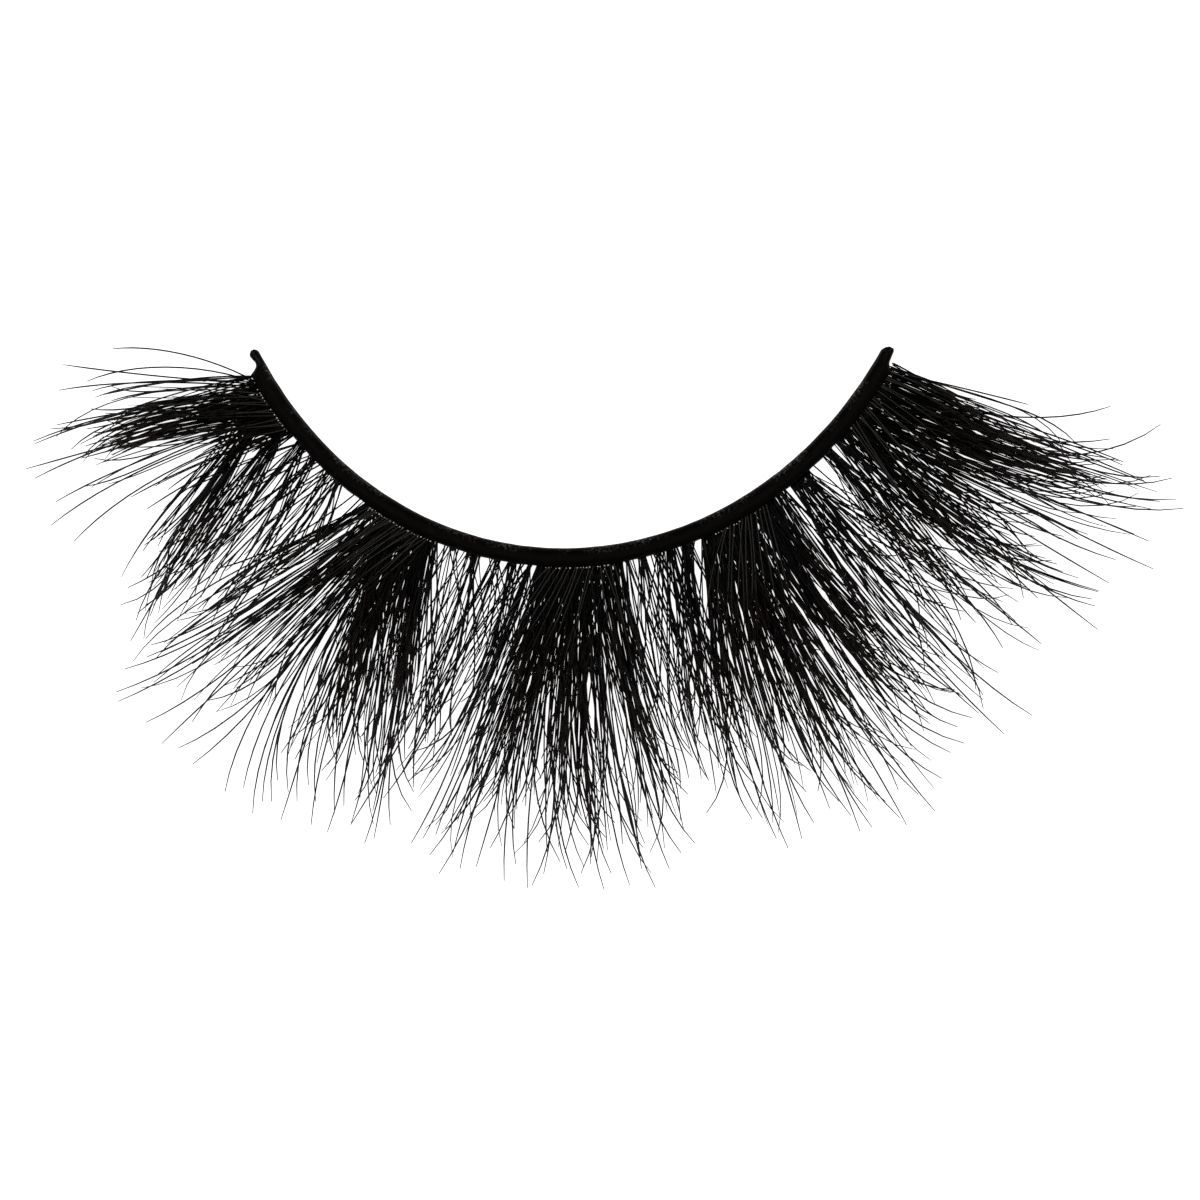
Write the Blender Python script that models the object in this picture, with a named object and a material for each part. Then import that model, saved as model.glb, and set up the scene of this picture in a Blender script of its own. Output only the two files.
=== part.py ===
# False eyelash strip: a thin curved band with a fringe of fine black fibres tied to its outer edge.
# It lies as it rests on a table. The band is flat on it, and the fibres lie along it from their roots
# and curl up towards their tips. Metres, +Z up, +X along the strip, +Y towards the band's hollow side.
# The origin is on the band's underside, in the middle of its width, where the curve is lowest.

import math
from collections import namedtuple

import bmesh
import bpy
import numpy as np

# Band sizes
BAND_LENGTH = 0.034
BAND_WIDTH = 0.00082
BAND_THICKNESS = 0.00045
LEFT_DEGREES = 63.0
RIGHT_DEGREES = 61.4
EASE_SHARE = 0.11
LEFT_SHARE = 0.49
BAND_STEP = 0.0007
TAB_LENGTH = 0.0009

# Fringe sizes
LONGEST_LASH = 0.0164
LYING_SHARE = 0.36
CURL_DEGREES = 55.0
KNOT_HEIGHT = 0.00042
LASH_HEIGHT = 0.00034
TIP_HEIGHT = 0.00009
TIP_WIDTH = 0.00010
SIDE_SHARE = 0.62

# Clearances
SEAT_GAP = 0.0001
FAN_GAP = 0.0002

# Ends of the band, from the tip inwards: shares of the tab's length and of the band's width
Tab = namedtuple("Tab", "along inner outer")
LEFT_TAB = (
    Tab(0.00, 0.17, 0.36),
    Tab(0.08, 0.05, 0.48),
    Tab(0.22, 0.00, 0.54),
    Tab(0.42, 0.00, 0.50),
    Tab(0.62, 0.00, 0.44),
    Tab(0.82, 0.00, 0.56),
    Tab(1.00, 0.00, 1.00),
)
RIGHT_TAB = (
    Tab(0.00, 0.30, 0.56),
    Tab(0.10, 0.15, 0.64),
    Tab(0.30, 0.00, 0.66),
    Tab(0.70, 0.00, 0.72),
    Tab(1.00, 0.00, 1.00),
)

# Cross-section of the band: shares of its width, from the hollow edge, and of its thickness
SECTION = (
    (0.00, 0.28),
    (0.10, 0.00),
    (0.90, 0.00),
    (1.00, 0.25),
    (1.00, 0.70),
    (0.85, 0.92),
    (0.45, 1.00),
    (0.12, 0.96),
    (0.00, 0.72),
)

# Fans and wisps, from left to right. Each row ends at root_to, a share of the band's length, and the next
# one starts there. Leans and bows are in degrees, for its first and its last lock: a lean is measured from
# straight off the band, and a bow is how far the lock turns on its way to the tip. Locks part at the split
# share of their length and fill that share of the room between them. Lengths are shares of LONGEST_LASH.
Fan = namedtuple("Fan", "name root_to lean_from lean_to bow_from bow_to split fill lengths")
START_SHARE = 0.030
FANS = (
    Fan("left_corner_fan", 0.120, -36, -29, 6, 30, 0.38, 0.80,
        (0.56, 0.61, 0.66, 0.71, 0.74, 0.75, 0.71, 0.67)),
    Fan("left_corner_wisp", 0.218, -20, -13, 36, 12, 0.24, 0.70,
        (0.68, 0.72, 0.77, 0.79, 0.78, 0.73)),
    Fan("left_fan", 0.325, -6, 15, -18, 4, 0.38, 0.80,
        (0.93, 0.95, 0.92, 0.87, 0.82, 0.90, 0.88, 0.88, 0.90, 0.82)),
    Fan("left_wisp", 0.425, 19, 0, -4, -6, 0.08, 0.55,
        (0.70, 0.66, 0.72, 0.70, 0.76, 0.72)),
    Fan("middle_fan", 0.575, 0, -2, -10, 12, 0.40, 0.80,
        (0.92, 0.90, 0.93, 0.89, 0.95, 0.90, 0.96, 0.92, 0.94, 0.92, 0.86)),
    Fan("right_wisp", 0.678, 0, -14, 8, 6, 0.08, 0.55,
        (0.68, 0.72, 0.66, 0.64, 0.66, 0.70)),
    Fan("right_fan", 0.790, -14, 0, 6, 14, 0.38, 0.80,
        (0.84, 0.93, 0.91, 0.95, 0.97, 1.00, 0.96, 0.92, 0.90, 0.91)),
    Fan("right_corner_wisp", 0.875, 4, 3, 8, 12, 0.14, 0.66,
        (0.88, 0.86, 0.90, 0.93, 0.90, 0.92, 0.92)),
    Fan("right_corner_fan", 0.985, 5, 10, 12, 14, 0.38, 0.80,
        (0.88, 0.90, 0.95, 0.92, 0.93, 0.95, 0.90, 0.81, 0.70)),
)

# Stations along a lock, as shares of the stretch before and after the split. TAPER is a power
STATIONS_BEFORE = (0.0, 0.12, 0.55, 1.0)
STATIONS_AFTER = (0.12, 0.30, 0.50, 0.70, 0.86, 1.0)
TAPER = 0.8
LEFT_WALL = 0
RIGHT_WALL = 3
SEAM_MERGE = 0.0000001
CURVE_STEPS = 120


def clear_scene():
    for item in list(bpy.data.objects):
        bpy.data.objects.remove(item)


def material(name, colour, roughness):
    finish = bpy.data.materials.new(name)
    finish.use_nodes = True
    shader = finish.node_tree.nodes["Principled BSDF"]
    shader.inputs["Base Color"].default_value = (*colour, 1.0)
    shader.inputs["Roughness"].default_value = roughness
    shader.inputs["Metallic"].default_value = 0.0
    return finish


def band_heading(share):
    # Direction straight off the band's outer edge, from -Y and positive towards +X
    left = share < LEFT_SHARE
    reach = np.where(left, LEFT_SHARE - share, share - LEFT_SHARE)
    room = np.where(left, LEFT_SHARE, 1.0 - LEFT_SHARE)
    turn = np.radians(np.where(left, -LEFT_DEGREES, RIGHT_DEGREES))
    u = reach / room
    return turn * (u + EASE_SHARE * (u - u ** 3))


def band_point(share, offset):
    # Point at a share of the hollow edge's length, a distance off it towards the fringe
    middles = (np.arange(CURVE_STEPS) + 0.5) / CURVE_STEPS
    headings = band_heading(LEFT_SHARE + (share - LEFT_SHARE) * middles)
    reach = BAND_LENGTH * (share - LEFT_SHARE)
    x = reach * np.mean(np.cos(headings))
    y = reach * np.mean(np.sin(headings))
    away = float(band_heading(np.array(share)))
    return np.array((x + offset * math.sin(away), BAND_WIDTH / 2 + y - offset * math.cos(away), 0.0))


def tab_rows(tabs, from_left):
    reach = TAB_LENGTH / BAND_LENGTH
    rows = []
    for tab in tabs:
        share = tab.along * reach
        rows.append((share if from_left else 1.0 - share, tab.inner, tab.outer))
    return rows


def band_rows():
    start = TAB_LENGTH / BAND_LENGTH
    count = round(BAND_LENGTH * (1.0 - 2.0 * start) / BAND_STEP)
    middle = [(share, 0.0, 1.0) for share in np.linspace(start, 1.0 - start, count + 1)[1:-1]]
    return tab_rows(LEFT_TAB, True) + middle + tab_rows(RIGHT_TAB, False)[::-1]


def add_node(name, build, finish):
    body = bmesh.new()
    build(body)
    bmesh.ops.recalc_face_normals(body, faces=body.faces)
    mesh = bpy.data.meshes.new(name)
    body.to_mesh(mesh)
    body.free()
    mesh.materials.append(finish)
    mesh.shade_smooth()
    mesh.set_sharp_from_angle(angle=math.radians(40.0))
    node = bpy.data.objects.new(name, mesh)
    bpy.context.scene.collection.objects.link(node)
    return node


def build_band(body):
    loops = []
    for share, inner, outer in band_rows():
        loop = []
        for across, up in SECTION:
            offset = BAND_WIDTH * (inner + across * (outer - inner))
            point = band_point(share, offset)
            point[2] = up * BAND_THICKNESS
            loop.append(body.verts.new(point))
        loops.append(loop)
    for before, after in zip(loops, loops[1:]):
        for k in range(len(SECTION)):
            n = (k + 1) % len(SECTION)
            body.faces.new((before[k], before[n], after[n], after[k]))
    body.faces.new(loops[0])
    body.faces.new(loops[-1])


def lash_line(root_share, lean, bow, length, stations):
    # Middle line of one lock: it lies flat, then curls up. Returns its points and their upward directions
    t = np.linspace(0.0, 1.0, CURVE_STEPS)
    heading = band_heading(np.array(root_share)) + math.radians(lean) + math.radians(bow) * t
    rise = math.radians(CURL_DEGREES) * np.clip((t - LYING_SHARE) / (1.0 - LYING_SHARE), 0.0, 1.0)
    along = np.stack((np.cos(rise) * np.sin(heading), -np.cos(rise) * np.cos(heading), np.sin(rise)), axis=1)
    over = np.stack((-np.sin(rise) * np.sin(heading), np.sin(rise) * np.cos(heading), np.cos(rise)), axis=1)
    middles = (along[1:] + along[:-1]) / 2 * length / (CURVE_STEPS - 1)
    line = np.vstack((np.zeros(3), np.cumsum(middles, axis=0)))
    line += band_point(root_share, BAND_WIDTH + SEAT_GAP)
    points = np.stack([np.interp(stations, t, line[:, axis]) for axis in range(3)], axis=1)
    upward = np.stack([np.interp(stations, t, over[:, axis]) for axis in range(3)], axis=1)
    return points, upward


def fan_lines(fan, root_from, stations):
    # Middle line and upward directions of each lock, from evenly spread roots
    inset = FAN_GAP / 2 / BAND_LENGTH
    lines = []
    for k, length in enumerate(fan.lengths):
        place = (k + 0.5) / len(fan.lengths)
        share = root_from + inset + place * (fan.root_to - root_from - 2 * inset)
        lean = fan.lean_from + place * (fan.lean_to - fan.lean_from)
        bow = fan.bow_from + place * (fan.bow_to - fan.bow_from)
        lines.append(lash_line(share, lean, bow, length * LONGEST_LASH, stations))
    return lines


def fan_seams(lines):
    # Lines half-way between neighbouring locks, and as far out beyond the first and the last
    middles = [points for points, upward in lines]
    seams = [(a + b) / 2 for a, b in zip(middles, middles[1:])]
    return [2 * middles[0] - seams[0]] + seams + [2 * middles[-1] - seams[-1]]


def lock_section(fan, station, middle, upward, seams):
    # Five points round a lock: lower and upper left, crest, upper and lower right
    gone = max(0.0, (station - fan.split) / (1.0 - fan.split))
    joined = gone == 0.0
    if joined:
        height = KNOT_HEIGHT + (LASH_HEIGHT - KNOT_HEIGHT) * station / fan.split
        side_up = np.array((0.0, 0.0, 1.0))
    else:
        height = LASH_HEIGHT + (TIP_HEIGHT - LASH_HEIGHT) * gone
        side_up = upward
    feet = []
    for seam in seams:
        room = np.linalg.norm(seam - middle)
        fill = 1.0 if joined else max(fan.fill * (1.0 - gone) ** TAPER, TIP_WIDTH / 2 / room)
        feet.append(middle + (seam - middle) * fill)
    left, right = feet
    rise = side_up * height * SIDE_SHARE
    return left, left + rise, middle + upward * height, right + rise, right


def build_fan(fan, root_from):
    # A comb: neighbouring locks are one body up to the split, and taper apart after it
    before = [fan.split * share for share in STATIONS_BEFORE]
    after = [fan.split + (1.0 - fan.split) * share for share in STATIONS_AFTER]
    stations = before + after
    lines = fan_lines(fan, root_from, stations)
    seams = fan_seams(lines)
    last = len(lines) - 1

    def build(body):
        for k, (middle, upward) in enumerate(lines):
            loops = []
            for j, station in enumerate(stations):
                sides = (seams[k][j], seams[k + 1][j])
                section = lock_section(fan, station, middle[j], upward[j], sides)
                loops.append([body.verts.new(point) for point in section])
            for j, (near, far) in enumerate(zip(loops, loops[1:])):
                joined = j + 1 < len(before)
                for p in range(5):
                    if joined and ((p == LEFT_WALL and k > 0) or (p == RIGHT_WALL and k < last)):
                        continue
                    q = (p + 1) % 5
                    body.faces.new((near[p], near[q], far[q], far[p]))
            body.faces.new(loops[0])
            body.faces.new(loops[-1])
        bmesh.ops.remove_doubles(body, verts=body.verts, dist=SEAM_MERGE)

    return build


def main():
    clear_scene()
    thread = material("band_thread", (0.012, 0.011, 0.012), 0.42)
    fibre = material("lash_fibre", (0.010, 0.008, 0.008), 0.35)
    add_node("lash_band", build_band, thread)
    root_from = START_SHARE
    for fan in FANS:
        add_node(fan.name, build_fan(fan, root_from), fibre)
        root_from = fan.root_to


main()
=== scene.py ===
import math
from collections import namedtuple

import bpy
import numpy as np
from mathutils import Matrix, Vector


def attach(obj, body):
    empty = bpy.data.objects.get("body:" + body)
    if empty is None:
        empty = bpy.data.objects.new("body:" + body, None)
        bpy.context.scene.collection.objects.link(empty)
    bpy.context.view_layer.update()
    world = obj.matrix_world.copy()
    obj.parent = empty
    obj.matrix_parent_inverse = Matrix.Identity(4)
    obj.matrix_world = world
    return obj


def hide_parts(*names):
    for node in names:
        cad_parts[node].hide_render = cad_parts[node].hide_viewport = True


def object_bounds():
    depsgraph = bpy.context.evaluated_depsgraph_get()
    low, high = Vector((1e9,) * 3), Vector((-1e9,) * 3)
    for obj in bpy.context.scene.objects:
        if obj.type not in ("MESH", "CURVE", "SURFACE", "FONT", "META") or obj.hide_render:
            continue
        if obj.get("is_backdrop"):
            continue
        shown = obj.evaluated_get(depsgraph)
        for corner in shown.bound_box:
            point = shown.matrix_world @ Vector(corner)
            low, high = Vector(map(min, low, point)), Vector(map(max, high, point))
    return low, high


# False eyelash strip, lying flat with its hollow side up in the picture and its lashes towards the viewer.
# Metres, +Z up, +X along the strip. Each section is one piece, in the order in which a strip is made.
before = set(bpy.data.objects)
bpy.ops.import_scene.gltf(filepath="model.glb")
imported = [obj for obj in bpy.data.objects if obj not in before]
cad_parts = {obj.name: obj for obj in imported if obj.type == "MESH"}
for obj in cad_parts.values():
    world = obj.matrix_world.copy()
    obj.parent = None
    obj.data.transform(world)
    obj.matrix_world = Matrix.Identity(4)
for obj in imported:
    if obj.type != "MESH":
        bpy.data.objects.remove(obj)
frame_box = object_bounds()


# Camera
# It looks straight down from far off, as for a catalogue picture, and its view is 52 mm wide on the table.
VIEW_WIDTH = 0.05196
VIEW_MIDDLE = (0.00162, -0.00184)
LENS = 400.0
SENSOR = 36.0

camera_data = bpy.data.cameras.new("camera")
camera_data.lens = LENS
camera_data.sensor_width = SENSOR
camera_data.clip_start = 0.01
camera_data.clip_end = 20.0
camera = bpy.data.objects.new("camera", camera_data)
camera.location = (*VIEW_MIDDLE, VIEW_WIDTH * LENS / SENSOR)
bpy.context.scene.collection.objects.link(camera)
bpy.context.scene.camera = camera


# Light table
# A white opal sheet lit from below and from above, as under small goods in a studio. It glows just enough
# to show white between the lashes, and still takes a faint shadow where the strip touches it.
TABLE_SIZE = 3.0
TABLE_GLOW = 0.97


def linear(colour):
    # Linear red, green, blue and alpha of an sRGB hex colour
    parts = [int(colour[i:i + 2], 16) / 255 for i in (1, 3, 5)]
    return [c / 12.92 if c <= 0.04045 else ((c + 0.055) / 1.055) ** 2.4 for c in parts] + [1.0]


def add_node(tree, kind, settings=None, inputs=None):
    # A node with its settings. An input is a value, or the output that it is linked to
    node = tree.nodes.new(kind)
    for name, value in (settings or {}).items():
        setattr(node, name, value)
    for name, value in (inputs or {}).items():
        if isinstance(value, bpy.types.NodeSocket):
            tree.links.new(value, node.inputs[name])
        else:
            node.inputs[name].default_value = value
    return node


opal = bpy.data.materials.new("opal_sheet")
opal.use_nodes = True
surface = opal.node_tree.nodes["Principled BSDF"]
surface.inputs["Base Color"].default_value = linear("#d8d8d8")
surface.inputs["Roughness"].default_value = 0.9
surface.inputs["Specular IOR Level"].default_value = 0.1
surface.inputs["Emission Color"].default_value = linear("#ffffff")
surface.inputs["Emission Strength"].default_value = TABLE_GLOW

bpy.ops.object.select_all(action="DESELECT")
bpy.ops.mesh.primitive_plane_add(size=TABLE_SIZE)
table = bpy.context.object
table.name = "table"
table.data.materials.append(opal)
table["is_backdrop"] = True


# Lights
# Pale walls all round under a dark ceiling, so that black things stay black from above, and two soft boxes
# high at the sides, which draw thin lights along the fibres.
WALL_GLOW = "#f4f4f4"
CEILING_GLOW = "#4a4a4a"
WALL_TOP = 0.10
CEILING_EDGE = 0.55
BOX_SIZE = 0.30
BOX_HEIGHT = 0.42
BOX_POWER = 1.5
Box = namedtuple("Box", "name x y")
BOXES = (Box("box_left", -0.42, 0.18), Box("box_right", 0.38, 0.26))

world = bpy.data.worlds.new("walls")
world.use_nodes = True
tree = world.node_tree
place = add_node(tree, "ShaderNodeTexCoord")
split = add_node(tree, "ShaderNodeSeparateXYZ", inputs={"Vector": place.outputs["Generated"]})
climb = add_node(tree, "ShaderNodeMapRange", {"interpolation_type": "SMOOTHSTEP"}, {
    "Value": split.outputs["Z"], "From Min": WALL_TOP, "From Max": CEILING_EDGE})
walls = add_node(tree, "ShaderNodeMix", {"data_type": "RGBA"}, {
    "Factor": climb.outputs["Result"], "A": linear(WALL_GLOW), "B": linear(CEILING_GLOW)})
tree.links.new(walls.outputs["Result"], tree.nodes["Background"].inputs["Color"])
bpy.context.scene.world = world
bpy.context.scene.view_settings.view_transform = "Standard"

for box in BOXES:
    light_data = bpy.data.lights.new(box.name, "AREA")
    light_data.size = BOX_SIZE
    light_data.energy = BOX_POWER
    light = bpy.data.objects.new(box.name, light_data)
    light.location = (box.x, box.y, BOX_HEIGHT)
    lean = math.atan2(box.x, math.hypot(box.y, BOX_HEIGHT))
    light.rotation_euler = (math.atan2(-box.y, BOX_HEIGHT), lean, 0.0)
    bpy.context.scene.collection.objects.link(light)


# Band
# A cotton thread laid along a curved former and sealed in soft black glue, which dries as a satin film with
# a rim of dull specks along its hollow edge. It carries every lash and stands on the table by itself.
BAND_LENGTH = 0.034
BAND_WIDTH = 0.00082
BAND_THICKNESS = 0.00045
LEFT_DEGREES = 63.0
RIGHT_DEGREES = 61.4
EASE_SHARE = 0.11
LEFT_SHARE = 0.49
TAB_LENGTH = 0.0009
BAND_ROWS = 340
BAND_COLUMNS = 18
CURVE_STEPS = 2000
ROUND_DEGREES = 50.0
LUMP_HEIGHT = 0.000014
LUMP_LENGTH = 0.0004
LUMP_SLANT = 0.0002
FINE_LUMP_SHARE = 0.6
FINE_LUMP_SLANT = 0.0003
EDGE_WANDER = 0.000012
HOLLOW_WANDER_SHARE = 0.6
OUTER_WANDER_SHARE = 1.6
Tab = namedtuple("Tab", "along inner outer")
LEFT_TAB = (
    Tab(0.00, 0.17, 0.36),
    Tab(0.08, 0.05, 0.48),
    Tab(0.22, 0.00, 0.54),
    Tab(0.42, 0.00, 0.50),
    Tab(0.62, 0.00, 0.44),
    Tab(0.82, 0.00, 0.56),
    Tab(1.00, 0.00, 1.00),
)
RIGHT_TAB = (
    Tab(0.00, 0.30, 0.56),
    Tab(0.10, 0.15, 0.64),
    Tab(0.30, 0.00, 0.66),
    Tab(0.70, 0.00, 0.72),
    Tab(1.00, 0.00, 1.00),
)
Height = namedtuple("Height", "across underside top")
SECTION = (
    Height(0.00, 0.30, 0.66),
    Height(0.04, 0.08, 0.84),
    Height(0.10, 0.00, 0.96),
    Height(0.20, 0.00, 0.98),
    Height(0.32, 0.00, 0.90),
    Height(0.50, 0.00, 0.94),
    Height(0.72, 0.00, 1.00),
    Height(0.88, 0.00, 0.94),
    Height(0.96, 0.06, 0.80),
    Height(1.00, 0.25, 0.62),
)

# The random start of the band. The lashes have their own, and every later piece goes on from that one
chance = np.random.default_rng(7)


def band_heading(share):
    # Direction straight off the outer edge, from -Y and positive towards +X
    left = share < LEFT_SHARE
    reach = np.where(left, LEFT_SHARE - share, share - LEFT_SHARE)
    room = np.where(left, LEFT_SHARE, 1.0 - LEFT_SHARE)
    turn = np.radians(np.where(left, -LEFT_DEGREES, RIGHT_DEGREES))
    u = reach / room
    return turn * (u + EASE_SHARE * (u - u ** 3))


curve_shares = np.linspace(0.0, 1.0, CURVE_STEPS + 1)
curve_headings = band_heading((curve_shares[1:] + curve_shares[:-1]) / 2)
curve_x = np.append(0.0, np.cumsum(np.cos(curve_headings))) * BAND_LENGTH / CURVE_STEPS
curve_y = np.append(0.0, np.cumsum(np.sin(curve_headings))) * BAND_LENGTH / CURVE_STEPS
curve_x -= np.interp(LEFT_SHARE, curve_shares, curve_x)
curve_y += BAND_WIDTH / 2 - np.interp(LEFT_SHARE, curve_shares, curve_y)


def on_band(share, offset):
    # Plan place at a share of the hollow edge's length and a distance off it, towards the fringe
    away = band_heading(share)
    x = np.interp(share, curve_shares, curve_x) + offset * np.sin(away)
    y = np.interp(share, curve_shares, curve_y) - offset * np.cos(away)
    return np.stack((x, y), axis=-1)


def wander(places, step):
    # Smooth random values from -1 to 1, with one new value at each step along
    knots = np.arange(places.min() - step, places.max() + 2 * step, step)
    return np.interp(places, knots, chance.uniform(-1.0, 1.0, len(knots)))


def read_mesh(mesh):
    # The places of a mesh's points, a row for each
    places = np.empty(len(mesh.vertices) * 3)
    mesh.vertices.foreach_get("co", places)
    return places.reshape(-1, 3)


def write_mesh(mesh, places):
    # Move a mesh's points to these places
    mesh.vertices.foreach_set("co", np.ascontiguousarray(places, dtype=np.float32).ravel())
    mesh.update()


bpy.ops.object.select_all(action="DESELECT")
bpy.ops.mesh.primitive_grid_add(x_subdivisions=BAND_ROWS, y_subdivisions=BAND_COLUMNS, size=1.0)
band = bpy.context.object
band.name = "band_film"
bpy.ops.object.mode_set(mode="EDIT")
bpy.ops.mesh.select_all(action="SELECT")
bpy.ops.mesh.extrude_region_move(TRANSFORM_OT_translate={"value": (0.0, 0.0, 1.0)})
bpy.ops.mesh.select_all(action="SELECT")
bpy.ops.mesh.normals_make_consistent(inside=False)
bpy.ops.object.mode_set(mode="OBJECT")

strip = read_mesh(band.data)
share = strip[:, 0] + 0.5
across = 0.5 - strip[:, 1]
is_top = strip[:, 2] > 0.5
tab = TAB_LENGTH / BAND_LENGTH
edge_shares = [row.along * tab for row in LEFT_TAB] + [1.0 - row.along * tab for row in RIGHT_TAB[::-1]]
inner = np.interp(share, edge_shares, [row.inner for row in LEFT_TAB + RIGHT_TAB[::-1]])
outer = np.interp(share, edge_shares, [row.outer for row in LEFT_TAB + RIGHT_TAB[::-1]])
# Rows crowd towards both edges, where the film turns down
across_eased = 0.5 - 0.5 * np.cos(math.pi * across) * (0.55 + 0.45 * np.abs(2 * across - 1))
offset = BAND_WIDTH * (inner + across_eased * (outer - inner))
along = share * BAND_LENGTH
wander_share = np.where(across > 0.5, OUTER_WANDER_SHARE, HOLLOW_WANDER_SHARE)
offset += EDGE_WANDER * wander(along, LUMP_LENGTH) * wander_share
section_across = [row.across for row in SECTION]
top = np.interp(across_eased, section_across, [row.top for row in SECTION]) * BAND_THICKNESS
lumps = wander(along + LUMP_SLANT * across, LUMP_LENGTH)
lumps += FINE_LUMP_SHARE * wander(along - FINE_LUMP_SLANT * across, LUMP_LENGTH / 2)
top += LUMP_HEIGHT * lumps * np.sin(math.pi * across_eased)
underside = np.interp(across_eased, section_across, [row.underside for row in SECTION]) * BAND_THICKNESS
plan = on_band(share, offset)
write_mesh(band.data, np.column_stack((plan, np.where(is_top, top, underside))))
band_uv = band.data.uv_layers.new(name="band")
corner_vertices = np.empty(len(band.data.loops), dtype=np.int32)
band.data.loops.foreach_get("vertex_index", corner_vertices)
band_places = np.column_stack((share, across_eased))[corner_vertices]
band_uv.data.foreach_set("uv", band_places.astype(np.float32).ravel())
bpy.ops.object.shade_smooth_by_angle(angle=math.radians(ROUND_DEGREES))

# Black latex glue, dried as a film: satin and almost black, with dull grey specks where it dried on its rim
GLUE_BLACK = "#060403"
GLUE_SPECK = "#5c5955"
SPECK_SIZE = 0.00011
PATCH_SIZE = 0.0011

film = bpy.data.materials.new("dried_latex_film")
film.use_nodes = True
tree = film.node_tree
surface = tree.nodes["Principled BSDF"]
place = add_node(tree, "ShaderNodeTexCoord")
strip_uv = add_node(tree, "ShaderNodeUVMap", {"uv_map": "band"})
split = add_node(tree, "ShaderNodeSeparateXYZ", inputs={"Vector": strip_uv.outputs["UV"]})
rim = add_node(tree, "ShaderNodeMapRange", inputs={
    "Value": split.outputs["Y"], "From Min": 0.10, "From Max": 0.42, "To Min": 1.0, "To Max": 0.0})
speck = add_node(tree, "ShaderNodeTexNoise", inputs={
    "Vector": place.outputs["Object"], "Scale": 1 / SPECK_SIZE, "Detail": 3.0, "Roughness": 0.65})
patch = add_node(tree, "ShaderNodeTexNoise", inputs={
    "Vector": place.outputs["Object"], "Scale": 1 / PATCH_SIZE, "Detail": 2.0})
patchy = add_node(tree, "ShaderNodeMapRange", inputs={
    "Value": patch.outputs["Fac"], "From Min": 0.42, "From Max": 0.62})
dots = add_node(tree, "ShaderNodeMapRange", inputs={
    "Value": speck.outputs["Fac"], "From Min": 0.50, "From Max": 0.66})
rim_dots = add_node(tree, "ShaderNodeMath", {"operation": "MULTIPLY"}, {
    0: rim.outputs["Result"], 1: dots.outputs["Result"]})
mottle = add_node(tree, "ShaderNodeMath", {"operation": "MULTIPLY"}, {
    0: rim_dots.outputs["Value"], 1: patchy.outputs["Result"]})
tint = add_node(tree, "ShaderNodeMix", {"data_type": "RGBA"}, {
    "Factor": mottle.outputs["Value"], "A": linear(GLUE_BLACK), "B": linear(GLUE_SPECK)})
gloss = add_node(tree, "ShaderNodeMapRange", inputs={
    "Value": mottle.outputs["Value"], "To Min": 0.36, "To Max": 0.75})
relief = add_node(tree, "ShaderNodeBump", inputs={
    "Height": speck.outputs["Fac"], "Strength": 0.5, "Distance": 0.00002})
tree.links.new(tint.outputs["Result"], surface.inputs["Base Color"])
tree.links.new(gloss.outputs["Result"], surface.inputs["Roughness"])
tree.links.new(relief.outputs["Normal"], surface.inputs["Normal"])
surface.inputs["Specular IOR Level"].default_value = 0.08
band.data.materials.append(film)
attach(band, "root")
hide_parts("lash_band")


# Lashes
# Drawn polyester fibres, each thinned to a point, tied in small bundles to the thread and glued under the
# film. They lie on the table from their roots, and their set curl lifts them towards their tips.
ROOT_INSIDE = 0.00014
ROOT_INSIDE_SHARES = (0.3, 1.0)
LOWEST = 0.00005
FIBRE_WIDTH = 0.000066
FIBRE_WIDTH_SHARES = (0.72, 1.10)
TIP_WIDTH_SHARE = 0.50
THIN_FROM = 0.84
THIN_POWER = 1.2
POINT_SHARE = 0.6
PALEST = 0.76
STEPS = 48
STATIONS = 13
SIDES = 4

# A strand lies on the table for its first share and then curls up, a short one less. Its tip flicks aside
LYING_SHARE = 0.36
CURL_DEGREES = 55.0
CURL_DRIFT = 4.0
CURL_OF_STUMP = 0.7
CURL_OF_LENGTH = 0.3
FLICK_FROM = 0.5
FLICK_POWER = 1.8
FLICK_DRIFT = 22.0
WILD_SHARE = 0.15
WILD_TIMES = 2.0
MOST_FLICK = 46.0

# How far strands stray from their lock, in locks or in degrees. The strands of a pencil share the first of
# two values, and the second is each one's own. Lengths and cuts are shares of the lock's length
PENCIL = 4
PENCIL_SPREAD = 0.00020
LOCK_DRIFT = (0.42, 0.38)
BOW_DRIFT = (6.5, 6.0)
SWAY_DRIFT = (2.6, 1.8)
PENCIL_CUT = 0.36
PENCIL_CUT_POWER = 1.3
STRAND_CUT = 0.22
STRAND_CUT_POWER = 1.7
SHORT_SHARE = 0.20
SHORT_LENGTHS = (0.22, 0.6)

# The same for the strands of a sheet, which stand nearly evenly in their row, and for the knots
ROW_PLACES = (0.1, 0.9)
SHEET_BOW_DRIFT = 5.0
SHEET_SWAY_DRIFT = 2.4
SHEET_LENGTHS = (0.55, 1.1)
KNOT_SPREAD = 0.00013
KNOT_DRIFT = 0.35
Lock = namedtuple("Lock", "root x y bow strands")
Sheet = namedtuple("Sheet", "root_from root_to x_from y_from x_to y_to bow strands")
Group = namedtuple("Group", "name root_from root_to root_spread loose knot_step highest locks sheets")


def in_pencils(pencil, shared, own):
    # Random amounts for strands that cling together in pencils, with a part that a pencil shares
    return chance.normal(0.0, shared, pencil[-1] + 1)[pencil] + chance.normal(0.0, own, len(pencil))


def along_rows(numbers):
    # Shares from 0 to 1 along rows of nearly evenly placed strands, with one number of strands for each row
    return np.concatenate([(np.arange(n) + chance.uniform(*ROW_PLACES, n)) / n for n in numbers])


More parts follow.
